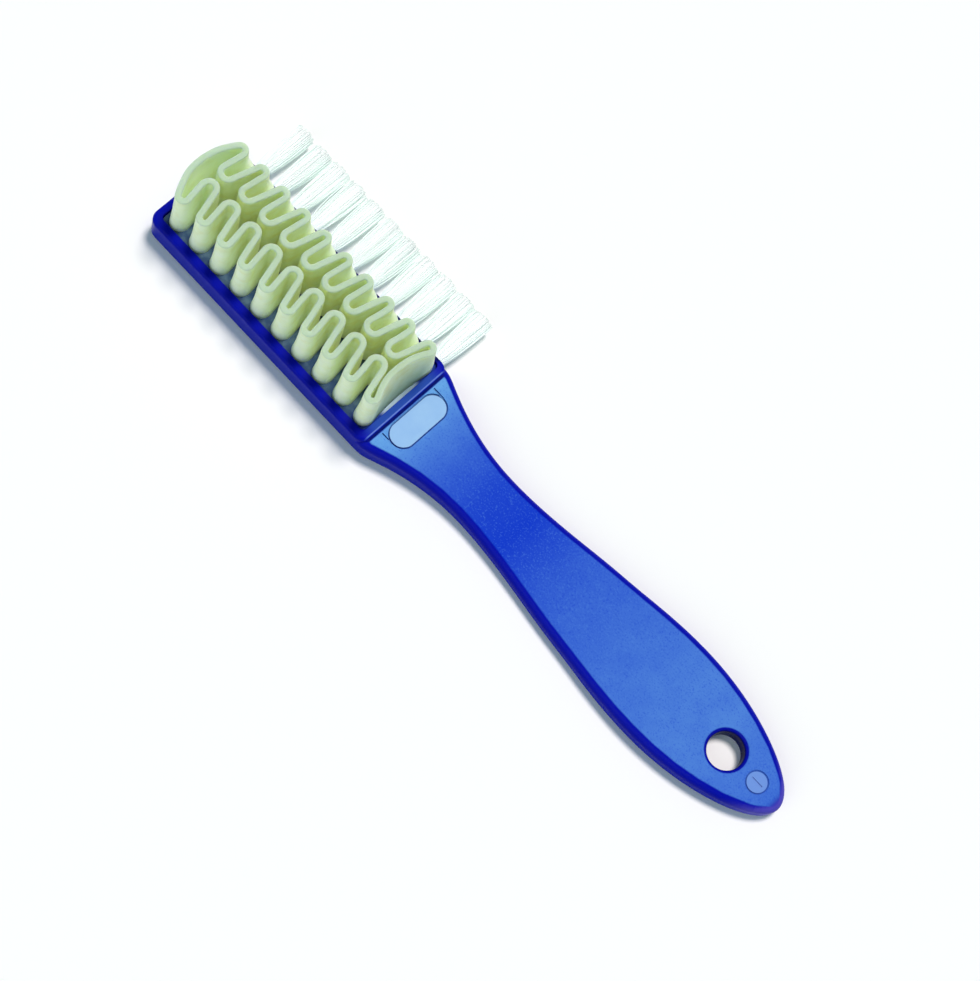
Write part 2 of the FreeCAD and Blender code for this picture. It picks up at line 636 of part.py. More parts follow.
def crepe_plate():
    """Return the thin plate of the crepe insert, which fills the tray's floor."""
    gap = value("Sizes.crepe_plate_gap")
    thickness = value("Sizes.crepe_plate")
    far_x = value(TRAY_FAR) + gap
    length = value(TRAY_NEAR) - gap - far_x
    front_y = gap - value(TRAY_FRONT)
    width = value(TRAY_REAR) - gap - front_y
    plate = Part.makeBox(length, width, thickness, Vector(far_x, front_y, value(TRAY_FLOOR)))
    upright = [edge for edge in plate.Edges if edge.BoundBox.ZLength > thickness / 2]
    return plate.makeFillet(value("Sizes.tray_corner") - gap, upright)


def make_crepe():
    """One closed wavy wall of crepe rubber on a thin plate, thinner and narrower at its top."""
    floor = value(TRAY_FLOOR)
    top = floor + value("Sizes.crepe_height")
    rear_foot = f"{TRAY_REAR} - Sizes.crepe_rear_gap"
    rear_top = f"{TRAY_FRONT} - Sizes.crepe_side_gap"
    base_bends = crepe_bends(rear_foot, 0.0, value("Sizes.near_sag_base"))
    top_bends = crepe_bends(rear_top, value("Sizes.far_lean"), value("Sizes.near_sag_top"))
    half_base = value("Sizes.crepe_wall_base") / 2
    half_top = half_base - value("Sizes.crepe_taper") / 2

    def block(side):
        base = crepe_outline(base_bends, side * half_base, floor)
        lip = crepe_outline(top_bends, side * half_top, top)
        return Part.makeLoft([base, lip], True, True)

    crepe = doc.addObject("Part::Feature", "crepe_insert")
    crepe.Label = crepe.Name
    crepe.Shape = crepe_plate().fuse(block(1).cut(block(-1))).Solids[0]
    return crepe


def check_model(pieces):
    """Stop if an object failed, a cut removed nothing or a piece isn't one sound solid."""
    for item in doc.Objects:
        if "Invalid" in item.State or "Error" in item.State:
            raise RuntimeError(f"{item.Name} failed: {item.State}")
        if item.TypeId == "PartDesign::Pocket" and item.Shape.Volume >= item.BaseFeature.Shape.Volume:
            raise RuntimeError(f"{item.Name} cut nothing")
    for piece in pieces:
        shape = piece.Shape
        if shape.isNull() or not shape.isValid() or len(shape.Solids) != 1:
            raise RuntimeError(f"{piece.Label} isn't one valid solid")


def write_parts(pieces):
    """Write each piece to a file of its own name."""
    os.makedirs("parts", exist_ok=True)
    for piece in pieces:
        piece.Shape.exportStep(os.path.join("parts", f"{piece.Label}.step"))
        box = piece.Shape.BoundBox
        print(f"{piece.Label}: {piece.Shape.Volume:.1f} mm3, X {box.XMin:.2f} to {box.XMax:.2f}, "
              f"Y {box.YMin:.2f} to {box.YMax:.2f}, Z {box.ZMin:.2f} to {box.ZMax:.2f}")


def main():
    """Build every piece, check the document and write the files."""
    fill_sheet()
    pieces = [make_handle(), make_crepe()]
    for number in range(round(value(TUFT_STEPS)) + 1):
        pieces.append(make_tuft(number))
        pieces.append(make_anchor(number))
    doc.recompute()
    check_model(pieces)
    write_parts(pieces)


main()
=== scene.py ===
"""Suede brush, dressed: a blue moulded handle, a wavy crepe insert and a row of nylon tufts."""

import logging
import math
from dataclasses import dataclass, field
from enum import Enum
from typing import Dict, List, Optional, Sequence, Tuple, Union

import bpy
import numpy as np
from mathutils import Matrix, Vector, noise


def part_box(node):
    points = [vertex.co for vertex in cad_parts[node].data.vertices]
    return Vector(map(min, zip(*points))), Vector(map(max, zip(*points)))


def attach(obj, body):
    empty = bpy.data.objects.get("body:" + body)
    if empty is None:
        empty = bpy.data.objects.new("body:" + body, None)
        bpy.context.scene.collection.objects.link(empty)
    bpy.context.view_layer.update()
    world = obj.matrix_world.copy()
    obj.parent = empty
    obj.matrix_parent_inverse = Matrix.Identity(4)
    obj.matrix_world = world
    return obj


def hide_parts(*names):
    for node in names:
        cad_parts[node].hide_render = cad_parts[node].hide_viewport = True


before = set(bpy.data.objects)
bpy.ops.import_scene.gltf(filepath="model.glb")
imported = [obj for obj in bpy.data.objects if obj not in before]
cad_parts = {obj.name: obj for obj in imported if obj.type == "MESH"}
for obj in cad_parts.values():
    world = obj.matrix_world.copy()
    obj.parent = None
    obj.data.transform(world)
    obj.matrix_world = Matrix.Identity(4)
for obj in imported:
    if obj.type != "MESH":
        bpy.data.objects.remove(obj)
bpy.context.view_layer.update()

LOG = logging.getLogger("suede_brush")
MM = 0.001
GOLDEN_ANGLE = math.pi * (3.0 - math.sqrt(5.0))

Colour = Tuple[float, float, float]
Pair = Tuple[float, float]
Fade = Tuple[float, float, float]
Setting = Union[str, bool, int, float, Sequence]


class Slot(Enum):
    """The record's material slots."""

    HANDLE = "blue_plastic"
    CREPE = "crepe_rubber"
    BRISTLE = "nylon_bristle"
    ANCHOR = "anchor_steel"


class Ray(Enum):
    """The kinds of ray that see the plain white background."""

    CAMERA = "Is Camera Ray"
    GLOSSY = "Is Glossy Ray"
    TRANSMISSION = "Is Transmission Ray"


class Side(Enum):
    """The two long sides of the crepe wall, as signs of Y."""

    FRONT = -1
    REAR = 1


class Socket:
    """A node's output that takes part in Python expressions."""

    def __init__(self, shader: "Shader", output: bpy.types.NodeSocket) -> None:
        """Keep the output and the shader that it belongs to."""
        self.shader = shader
        self.output = output

    def apply(self, operation: str, *others: "Value") -> "Socket":
        """Return the result of a Math node with this value as its first operand."""
        return self.shader.maths(operation, self, *others)

    def __add__(self, other: "Value") -> "Socket":
        """Return the sum."""
        return self.apply("ADD", other)

    __radd__ = __add__

    def __mul__(self, other: "Value") -> "Socket":
        """Return the product."""
        return self.apply("MULTIPLY", other)

    __rmul__ = __mul__

    def __sub__(self, other: "Value") -> "Socket":
        """Return the difference."""
        return self.apply("SUBTRACT", other)

    def __rsub__(self, other: float) -> "Socket":
        """Return a number less this value."""
        return self.shader.maths("SUBTRACT", other, self)

    def __truediv__(self, other: "Value") -> "Socket":
        """Return the quotient."""
        return self.apply("DIVIDE", other)

    def __abs__(self) -> "Socket":
        """Return the size without its sign."""
        return self.apply("ABSOLUTE")

    def __pow__(self, other: "Value") -> "Socket":
        """Return a power."""
        return self.apply("POWER", other)

    def at_least(self, other: "Value") -> "Socket":
        """Return the larger of two values."""
        return self.apply("MAXIMUM", other)

    def scaled(self, start: float, gain: float) -> "Socket":
        """Return a start value plus this value times a gain."""
        return self * gain + start

    def step(self, low: float, high: float) -> "Socket":
        """Rise smoothly from 0 to 1.

        Args:
            low: The value where the rise starts.
            high: The value where it ends; lower than low for a fall.

        Returns:
            The smooth step.
        """
        rising = low < high
        node = self.shader.node(
            "ShaderNodeMapRange",
            {"interpolation_type": "SMOOTHSTEP"},
            {"Value": self, "From Min": min(low, high), "From Max": max(low, high),
             "To Min": 0.0 if rising else 1.0, "To Max": 1.0 if rising else 0.0},
        )
        return Socket(self.shader, node.outputs["Result"])

    def fade(self, low: float, high: float, share: float) -> "Socket":
        """Rise smoothly like a step, from 0 to a share of 1."""
        return self.step(low, high) * share


Value = Union[Socket, float]


class Shader:
    """The nodes of one material or of the world."""

    def __init__(self, owner: Union[bpy.types.Material, bpy.types.World]) -> None:
        """Start with an empty node tree."""
        self.owner = owner
        owner.use_nodes = True
        self.tree = owner.node_tree
        self.tree.nodes.clear()

    @classmethod
    def material(cls, name: str) -> "Shader":
        """Start a new material of that name."""
        return cls(bpy.data.materials.new(name))

    def node(
        self,
        kind: str,
        settings: Optional[Dict[str, Setting]] = None,
        inputs: Optional[Dict[Union[str, int], object]] = None,
    ) -> bpy.types.Node:
        """Add a node of any kind.

        Args:
            kind: The node's type.
            settings: Its properties, set first; "stops" fills a colour ramp.
            inputs: Values or links of its sockets, by name or number.

        Returns:
            The node.
        """
        made = self.tree.nodes.new(kind)
        for name, setting in (settings or {}).items():
            if name == "stops":
                self.fill_ramp(made.color_ramp, setting)
            else:
                setattr(made, name, setting)
        for name, value in (inputs or {}).items():
            self.feed(made.inputs[name], value)
        return made

    def feed(self, target: bpy.types.NodeSocket, value: object) -> None:
        """Link a socket to the target, or set its value."""
        if isinstance(value, Socket):
            self.tree.links.new(value.output, target)
        elif isinstance(value, (tuple, list)) and target.type == "RGBA":
            target.default_value = (*value[:3], 1.0)
        else:
            target.default_value = value

    @staticmethod
    def fill_ramp(ramp: bpy.types.ColorRamp, stops: Sequence[Tuple[float, Colour]]) -> None:
        """Give a colour ramp its stops."""
        while len(ramp.elements) < len(stops):
            ramp.elements.new(1.0)
        for element, (position, colour) in zip(ramp.elements, stops):
            element.position = position
            element.color = (*colour, 1.0)

    def read(
        self,
        kind: str,
        output: Union[str, int],
        settings: Optional[Dict[str, Setting]] = None,
        inputs: Optional[Dict[Union[str, int], object]] = None,
    ) -> Socket:
        """Add a node and return one of its outputs.

        Args:
            kind: The node's type.
            output: The output's name or number.
            settings: The node's properties.
            inputs: Values or links of its sockets.

        Returns:
            The output.
        """
        return Socket(self, self.node(kind, settings, inputs).outputs[output])

    def maths(self, operation: str, *operands: Value) -> Socket:
        """Return the result of a Math node with these operands, in order."""
        settings = {"operation": operation}
        return self.read("ShaderNodeMath", "Value", settings, dict(enumerate(operands)))

    def blend(self, share: Value, first: object, second: object) -> Socket:
        """Mix two colours.

        Args:
            share: How much of the second colour is used.
            first: The first colour or link.
            second: The second colour or link.

        Returns:
            The mixed colour.
        """
        settings = {"data_type": "RGBA", "blend_type": "MIX", "clamp_factor": True}
        return self.read("ShaderNodeMix", 2, settings, {0: share, 6: first, 7: second})

    def place(self) -> Socket:
        """Return the point on the surface, in the object's own metres."""
        return self.read("ShaderNodeTexCoord", "Object")

    def parts(self, vector: Socket) -> Tuple[Socket, Socket, Socket]:
        """Return a vector's three parts."""
        split = self.node("ShaderNodeSeparateXYZ", None, {"Vector": vector})
        return tuple(Socket(self, split.outputs[axis]) for axis in "XYZ")

    def grain(self, place: Socket, size: float, detail: float = 2.0, rough: float = 0.5) -> Socket:
        """Return fine noise.

        Args:
            place: The point that the noise is read at.
            size: The size of a grain, in metres.
            detail: How many finer layers are added.
            rough: The strength of the finer layers.

        Returns:
            The noise, about 0 to 1 round 0.5.
        """
        inputs = {"Vector": place, "Scale": 1.0 / size, "Detail": detail, "Roughness": rough}
        return self.read("ShaderNodeTexNoise", 0, None, inputs)

    def bump(self, height: Socket, depth: float, normal: Optional[Socket] = None) -> Socket:
        """Return a normal that is raised by a height.

        Args:
            height: The height, 0 to 1.
            depth: The height of 1, in metres.
            normal: A normal that is already raised.

        Returns:
            The new normal.
        """
        inputs = {"Height": height, "Distance": depth, "Strength": 1.0}
        if normal is not None:
            inputs["Normal"] = normal
        return self.read("ShaderNodeBump", "Normal", None, inputs)

    def ramp(self, along: Socket, stops: Sequence[Tuple[float, Colour]]) -> Socket:
        """Return a colour that changes along a length.

        Args:
            along: The place along the length, in metres.
            stops: Places along it in millimetres, each with the colour there.

        Returns:
            The colour.
        """
        first = stops[0][0]
        length = stops[-1][0] - first
        shares = [((place - first) / length, colour) for place, colour in stops]
        share = (along - first * MM) / (length * MM)
        return self.read("ShaderNodeValToRGB", "Color", {"stops": shares}, {"Fac": share})

    def surface(self, **inputs: object) -> bpy.types.Material:
        """Finish with a Principled shader; an underscore in a name stands for a space."""
        named = {name.replace("_", " "): value for name, value in inputs.items()}
        shader = self.node("ShaderNodeBsdfPrincipled", None, named)
        return self.close(Socket(self, shader.outputs["BSDF"]))

    def close(self, shader: Socket) -> bpy.types.Material:
        """Link a shader to the material's output and return the material."""
        self.node("ShaderNodeOutputMaterial", None, {"Surface": shader})
        return self.owner

    def background(self) -> Socket:
        """Return 1 for rays that see the plain background, else 0."""
        rays = self.node("ShaderNodeLightPath")
        camera, glossy, clear = (Socket(self, rays.outputs[ray.value]) for ray in Ray)
        return camera.at_least(glossy).at_least(clear)


@dataclass(frozen=True)
class MouldedBlue:
    """Blue moulded plastic: a fine matte grain on the handle's top, smooth glossy edges and rim; painted
    sheen, highlight and shade.
    """

    # side is painted shade: the sides, the rounded edges, the head's rim and the hole's rim get this
    # colour, darker than the top.
    side: Colour = (0.0008, 0.0045, 0.38)
    # line is painted shade: the grooves round the panel and the mould mark, and the step at the rim's
    # near end.
    line: Colour = (0.0020, 0.0080, 0.16)
    # shade is painted shade: the rear rim beside the tufts and the hanging hole's bore.
    shade: Colour = (0.0008, 0.0030, 0.09)
    top: Colour = (0.0015, 0.036, 0.57)
    # Painted sheen: this pale colour paints a reflection onto the top along the handle; it also makes
    # random pale specks.
    sheen_and_speck: Colour = (0.092, 0.265, 0.70)
    # Painted sheen: the smooth panel and mould mark are painted paler with this colour.
    polish_sheen: Colour = (0.30, 0.52, 0.81)
    # Painted reflection: the rounded nose is painted this lighter violet blue.
    nose_sheen: Colour = (0.075, 0.062, 0.50)
    # The rim's near end: a paler ledge as painted sheen and a bright line as painted highlight.
    ledge_sheen: Colour = (0.015, 0.062, 0.37)
    bright: Colour = (0.11, 0.19, 0.60)
    painted_sheen_along: Tuple[Pair, ...] = (
        (-24.8, 1.60), (-20.0, 1.25), (-15.0, 0.80), (-8.0, 0.36), (1.0, 0.10), (12.0, 0.02),
        (25.0, 0.30), (40.0, 0.50), (58.0, 0.72), (74.0, 0.84), (84.0, 0.66), (95.0, 0.52),
    )
    half_along: Tuple[Pair, ...] = (
        (-24.0, 13.05), (-18.0, 10.81), (-12.0, 9.06), (-6.0, 7.98), (0.0, 7.54), (6.0, 7.66),
        (12.0, 8.14), (18.0, 8.84), (24.0, 9.67), (30.0, 10.50), (36.0, 11.18), (42.0, 11.84),
        (48.0, 12.49), (54.0, 12.94), (60.0, 13.05), (66.0, 12.79), (72.0, 12.04), (78.0, 10.75),
        (84.0, 8.87), (90.0, 6.06), (93.0, 3.82), (95.0, 1.0),
    )
    smooth_edge: Pair = (1.40 * MM, 1.85 * MM)
    level_turn: Pair = (0.90, 0.992)
    flat_turn: Pair = (0.97, 0.998)
    specular: float = 0.02
    gloss: float = 0.05
    gloss_loss: float = 0.9
    coat_roughness: float = 0.20
    side_roughness: float = 0.20
    top_roughness: float = 0.48
    cloud_roughness: float = 0.06
    grain_size: float = 0.42 * MM
    grain_depth: float = 0.020 * MM
    cloud_size: float = 6.0 * MM
    layers: Pair = (3.0, 0.6)
    mottle_mix: Pair = (0.72, 0.28)
    mottle: Fade = (0.30, 0.70, 0.24)
    speck: Fade = (0.52, 0.70, 0.28)
    pit: Fade = (0.48, 0.30, 0.42)
    line_width: float = 0.28 * MM
    line_share: float = 0.8
    ring_share: float = 0.6
    panel: Tuple[float, float, float] = (-21.05 * MM, 3.1 * MM, 7.7 * MM)
    panel_sheen: Pair = (0.60, 0.5)
    mark: Pair = (87.45 * MM, 2.45 * MM)
    mark_sheen: Pair = (0.16, 0.25)
    hole: Pair = (77.9 * MM, 4.3 * MM)
    hole_bevel: float = 0.30 * MM
    hole_edge: float = 0.75 * MM
    nose_turn: Pair = (0.10, 0.55)
    nose_along: Pair = (84.0 * MM, 92.0 * MM)
    rear_rim: Pair = (12.1 * MM, 12.5 * MM)
    rear_turn: Pair = (0.30, 0.60)
    rear_along: Pair = (-27.5 * MM, -28.5 * MM)
    near_rim: Pair = (-27.3 * MM, -27.1 * MM)
    ledge_turn: Pair = (0.90, 0.99)
    ledge_ends: Pair = (12.4 * MM, 7.5 * MM)
    line_turn: Pair = (0.10, 0.40)
    line_ends: Pair = (12.6 * MM, 10.8 * MM)
    painted_highlight_line: Pair = (-25.60 * MM, 0.22 * MM)
    step_shade_line: Pair = (-25.02 * MM, 0.32 * MM)
    edge: float = 0.15 * MM

    def line_mask(self, x: Socket, line: Pair) -> Socket:
        """Return 1 on a line across the handle, given by its middle and half its width."""
        middle, half = line
        return abs(x - middle).step(half, half - self.edge)

    def panel_mask(self, x: Socket, y: Socket, grow: float = 0.0) -> Socket:
        """Return 1 inside the outlined panel.

        Args:
            x: The place along the handle.
            y: The place across it.
            grow: How far the mask reaches beyond the panel.

        Returns:
            The mask.
        """
        middle, half_x, half_y = self.panel
        beyond = (abs(y) - (half_y - half_x)).at_least(0.0)
        along = x - middle
        reach = (along * along + beyond * beyond) ** 0.5
        return reach.step(half_x + grow, half_x + grow - self.edge)

    @staticmethod
    def disc_mask(x: Socket, y: Socket, disc: Pair, inner: float, outer: float) -> Socket:
        """Return 1 inside a disc on the centre line, falling to 0 outside it.

        Args:
            x: The place along the handle.
            y: The place across it.
            disc: The disc's middle along the handle, and its radius.
            inner: How far beyond the radius the fall starts.
            outer: How far beyond it the fall ends.

        Returns:
            The mask.
        """
        middle, radius = disc
        along = x - middle
        reach = (along * along + y * y) ** 0.5
        return reach.step(radius + outer, radius + inner)

    def inner_mask(self, shader: Shader, x: Socket, y: Socket) -> Socket:
        """Return 1 on the handle's top and 0 along its smooth edges, which get the painted shade of the
        sides.
        """
        widest = max(half for _, half in self.half_along)
        stops = [(place, (half / widest,) * 3) for place, half in self.half_along]
        return (shader.ramp(x, stops) * (widest * MM) - abs(y)).step(*self.smooth_edge)

    def painted_sheen_top(self, shader: Shader, x: Socket) -> Socket:
        """Return the top's colour with a painted sheen, which pales it towards the head and the hanging
        end.
        """
        stops = []
        for place, share in self.painted_sheen_along:
            mixed = tuple(deep + (pale - deep) * share for deep, pale in zip(self.top, self.sheen_and_speck))
            stops.append((place, mixed))
        return shader.ramp(x, stops)

    def make(self) -> bpy.types.Material:
        """Build the material."""
        shader = Shader.material("moulded_blue")
        place = shader.place()
        x, y, _ = shader.parts(place)
        ahead, _, up = shader.parts(shader.read("ShaderNodeNewGeometry", "Normal"))
        head_end = self.painted_sheen_along[0][0] * MM
        on_handle = x.step(head_end, head_end + 2.0 * self.edge)
        flat = up.step(*self.flat_turn)
        # Painted shade: away from the level top, on the edges and round the hole, the darker side colour
        # is used.
        level = up.step(*self.level_turn) * on_handle * self.inner_mask(shader, x, y)
        level = level * (1.0 - self.disc_mask(x, y, self.hole, self.hole_bevel, self.hole_edge))
        panel = self.panel_mask(x, y) * level
        mark = self.disc_mask(x, y, self.mark, -self.edge, 0.0) * level
        ring = self.disc_mask(x, y, self.mark, self.line_width - self.edge, self.line_width)
        outlined = self.panel_mask(x, y, self.line_width).at_least(self.ring_share * ring)
        textured = level * (1.0 - panel.at_least(mark))
        grain = shader.grain(place, self.grain_size, *self.layers)
        cloud = shader.grain(place, self.cloud_size, *self.layers)
        wide, fine = self.mottle_mix
        mottled = (wide * cloud + fine * grain).fade(*self.mottle)
        # The painted sheen pales the top towards the head and the hanging end.
        plain = shader.blend(mottled, self.painted_sheen_top(shader, x), self.top)
        top = shader.blend(grain.fade(*self.speck), plain, self.sheen_and_speck)
        top = shader.blend(grain.fade(*self.pit), top, self.top)
        # Painted shade in the grooves: the panel's outline and the ring round the mould mark are painted
        # dark.
        top = shader.blend(outlined * self.line_share, top, self.line)
        # Painted sheen: the smooth panel and the mould mark are painted paler, as if they caught more
        # light; their smoothness is real.
        polished_sheen = shader.blend(cloud.scaled(*self.panel_sheen), self.sheen_and_speck, self.polish_sheen)
        top = shader.blend(panel, top, polished_sheen)
        polished_sheen = shader.blend(cloud.scaled(*self.mark_sheen), plain, self.polish_sheen)
        top = shader.blend(mark, top, polished_sheen)
        # Painted shade: the rear rim beside the tufts and the hanging hole's bore are painted near black.
        shaded = y.step(*self.rear_rim) * up.step(*self.rear_turn) * x.step(*self.rear_along)
        shaded = shaded.at_least(self.disc_mask(x, y, self.hole, 0.0, self.hole_bevel))
        colour = shader.blend(level, shader.blend(shaded, self.side, self.shade), top)
        # Painted light at the rim's near end: a paler ledge as painted sheen, a bright line as painted
        # highlight and a dark line at the step as painted shade.
        ledge_sheen = x.step(*self.near_rim) * up.step(*self.ledge_turn) * (1.0 - on_handle)
        lines = abs(y).step(*self.line_ends) * up.step(*self.line_turn) * (1.0 - on_handle)
        colour = shader.blend(ledge_sheen * abs(y).step(*self.ledge_ends), colour, self.ledge_sheen)
        colour = shader.blend(lines * self.line_mask(x, self.painted_highlight_line), colour, self.bright)
        colour = shader.blend(lines * self.line_mask(x, self.step_shade_line), colour, self.line)
        # Painted reflection on the rounded nose at the hanging end.
        tip = ahead.step(*self.nose_turn) * x.step(*self.nose_along) * (1.0 - level)
        colour = shader.blend(tip, colour, self.nose_sheen)
        smooth = (1.0 - flat) + flat * panel.at_least(mark)
        rough = cloud.scaled(self.top_roughness, self.cloud_roughness)
        rough = rough + smooth * (self.side_roughness - self.top_roughness)
        return shader.surface(
            Base_Color=colour, Roughness=rough, Specular_IOR_Level=self.specular,
            Normal=shader.bump(grain * textured, self.grain_depth),
            Coat_Weight=(1.0 - level) * (1.0 - self.gloss_loss * flat) * self.gloss,
            Coat_Roughness=self.coat_roughness,
        )


@dataclass(frozen=True)
class CrepeRubber:
    """Pale crepe rubber: soft and darker along its lip; painted shade darkens and yellows the folds and
    darkens the near wall, and a painted glow lifts it.
    """

    face: Colour = (0.80, 0.965, 0.68)
    # fold is painted shade for the folds, and also colours random stains.
    fold: Colour = (0.72, 0.78, 0.38)
    lip: Colour = (0.43, 0.565, 0.44)
    bloom: Colour = (0.84, 0.93, 0.78)
    # Painted shade for the near end wall.
    painted_near_shade: Colour = (0.28, 0.44, 0.30)
    roughness: Pair = (0.60, 0.15)
    specular: float = 0.25
    scatter: float = 0.9
    scatter_radius: Colour = (1.0, 1.0, 0.6)
    scatter_depth: float = 2.5 * MM
    # Painted light: a faint glow brightens the rubber.
    painted_glow: float = 0.05
    cloud_size: float = 3.0 * MM
    cloud_layers: float = 3.0
    grain_size: float = 0.40 * MM
    grain_layers: Pair = (4.0, 0.6)
    in_fold: Pair = (0.35, 0.6)
    stain: Fade = (0.46, 0.66, 0.28)
    pale_cloud: Fade = (0.48, 0.28, 0.30)
    pale_grain: Fade = (0.58, 0.75, 0.18)
    lip_rise: Fade = (21.65 * MM, 22.30 * MM, 0.85)
    near_along: Pair = (-31.0 * MM, -29.6 * MM)
    near_across: Pair = (9.0 * MM, 6.5 * MM)
    near_down: Fade = (22.0 * MM, 6.0 * MM, 0.85)
    pit_depth: float = 0.04 * MM
    wave_depth: float = 0.20 * MM

    def make(self) -> bpy.types.Material:
        """Build the material."""
        shader = Shader.material("crepe_rubber")
        place = shader.place()
        x, y, z = shader.parts(place)
        inside = shader.read("ShaderNodeAttribute", "Fac", {"attribute_name": "fold"})
        cloud = shader.grain(place, self.cloud_size, self.cloud_layers)
        grain = shader.grain(place, self.grain_size, *self.grain_layers)
        # Painted shade: the folds are darker and yellower the deeper they lie; the cloud adds random
        # stains.
        yellow = inside * cloud.scaled(*self.in_fold) + cloud.fade(*self.stain)
        colour = shader.blend(yellow, self.face, self.fold)
        colour = shader.blend(cloud.fade(*self.pale_cloud), colour, self.bloom)
        colour = shader.blend(z.fade(*self.lip_rise), colour, self.lip)
        colour = shader.blend(grain.fade(*self.pale_grain), colour, self.bloom)
        # Painted shade: the near end wall, which faces the handle, is darker towards its foot.
        near = x.step(*self.near_along) * abs(y).step(*self.near_across)
        colour = shader.blend(near * z.fade(*self.near_down), colour, self.painted_near_shade)
        pits = shader.bump(grain, self.pit_depth)
        # Painted light: the rubber glows a little with its own colour.
        return shader.surface(
            Base_Color=colour, Roughness=grain.scaled(*self.roughness),
            Normal=shader.bump(cloud, self.wave_depth, pits), Specular_IOR_Level=self.specular,
            Subsurface_Weight=self.scatter, Subsurface_Radius=self.scatter_radius,
            Subsurface_Scale=self.scatter_depth,
            Emission_Color=colour, Emission_Strength=self.painted_glow,
        )


@dataclass(frozen=True)
class CrepePlate:
    """The insert's thin plate, painted dark and blue as shade, with a painted pool of light as a pale
    lens at the handle's end.
    """

    # colour is painted shade, dark and blue like the shade between the lobes; dust adds random lighter
    # clouds.
    colour: Colour = (0.04, 0.085, 0.19)
    dust: Colour = (0.11, 0.19, 0.27)
    # pale paints a pool of light at the handle's end; deep is painted shade at the ends of that lens.
    pale: Colour = (0.42, 0.57, 0.67)
    deep: Colour = (0.012, 0.045, 0.28)
    pale_along: Pair = (-33.0 * MM, -31.0 * MM)
    pale_middle: float = 0.6 * MM
    pale_ends: Pair = (6.2 * MM, 4.2 * MM)
    dusty: Pair = (0.35, 0.7)
    roughness: Pair = (0.45, 0.25)
    specular: float = 0.10
    cloud_size: float = 2.5 * MM
    cloud_layers: float = 3.0
    grain_size: float = 0.3 * MM
    grain_depth: float = 0.03 * MM

    def make(self) -> bpy.types.Material:
        """Build the material."""
        shader = Shader.material("crepe_plate")
        place = shader.place()
        x, y, _ = shader.parts(place)
        cloud = shader.grain(place, self.cloud_size, self.cloud_layers)
        grain = shader.grain(place, self.grain_size)
        colour = shader.blend(cloud.step(*self.dusty), self.colour, self.dust)
        # Painted light and shade: a pale lens across the middle at the handle's end, deep blue towards
        # its ends.
        middle = abs(y - self.pale_middle).step(*self.pale_ends)
        lens = shader.blend(middle, self.deep, self.pale)
        colour = shader.blend(x.step(*self.pale_along), colour, lens)
        return shader.surface(
            Base_Color=colour, Roughness=grain.scaled(*self.roughness),
            Normal=shader.bump(grain, self.grain_depth), Specular_IOR_Level=self.specular,
        )


@dataclass(frozen=True)
class NylonFilament:
    """White nylon filaments, each a little different, slightly clear, with painted shade on the tufts'
    flanks and a painted glow.
    """

    light: Colour = (0.93, 0.975, 0.965)
    shade: Colour = (0.85, 0.93, 0.91)
    # Painted shade: the tufts' flanks get this colour.
    painted_flank_shade: Colour = (0.81, 0.92, 0.88)
    cut: Colour = (0.52, 0.62, 0.59)
    cut_along: Pair = (28.3 * MM, 28.9 * MM)
    own_share: float = 0.7
    streak_share: float = 0.25
    streak_size: float = 0.8 * MM
    outer_flank: Pair = (0.30, 0.80)
    roughness: Pair = (0.35, 0.2)
    specular: float = 0.4
    scatter: float = 0.6
    scatter_radius: Colour = (1.0, 1.0, 1.0)
    scatter_depth: float = 0.4 * MM
    # Painted light: the filaments glow a little.
    painted_glow: float = 0.16

    def make(self) -> bpy.types.Material:
        """Build the material."""
        shader = Shader.material("nylon_filament")
        place = shader.place()
        own = shader.read("ShaderNodeNewGeometry", "Random Per Island")
        streak = shader.grain(place, self.streak_size)
        deeper = own * own * self.own_share + streak * self.streak_share
        colour = shader.blend(deeper, self.light, self.shade)
        flank = shader.read("ShaderNodeAttribute", "Fac", {"attribute_name": "flank"})
        # Painted shade on the tufts' outer and lower filaments.
        colour = shader.blend(flank.step(*self.outer_flank), colour, self.painted_flank_shade)
        end = shader.parts(place)[1].step(*self.cut_along)
        colour = shader.blend(end * own, colour, self.cut)
        # Painted light: the filaments glow a little with their own colour.
        return shader.surface(
            Base_Color=colour, Roughness=streak.scaled(*self.roughness),
            Specular_IOR_Level=self.specular,
            Subsurface_Weight=self.scatter, Subsurface_Radius=self.scatter_radius,
            Subsurface_Scale=self.scatter_depth,
            Emission_Color=colour, Emission_Strength=self.painted_glow,
        )


@dataclass(frozen=True)
class AnchorSteel:
    """Drawn flat wire, brushed along its length."""

    colour: Colour = (0.55, 0.56, 0.57)
    bright: Colour = (0.70, 0.71, 0.72)
    stroke: float = 0.05 * MM
    stroke_layers: float = 3.0
    stretch: Tuple[float, float, float] = (0.05, 1.0, 1.0)
    roughness: Pair = (0.25, 0.25)

    def make(self) -> bpy.types.Material:
        """Build the material."""
        shader = Shader.material("anchor_steel")
        stretched = shader.read(
            "ShaderNodeVectorMath", "Vector", {"operation": "MULTIPLY"},
            {0: shader.place(), 1: self.stretch},
        )
        drawn = shader.grain(stretched, self.stroke, self.stroke_layers)
        colour = shader.blend(drawn, self.colour, self.bright)
        return shader.surface(
            Base_Color=colour, Metallic=1.0, Roughness=drawn.scaled(*self.roughness)
        )


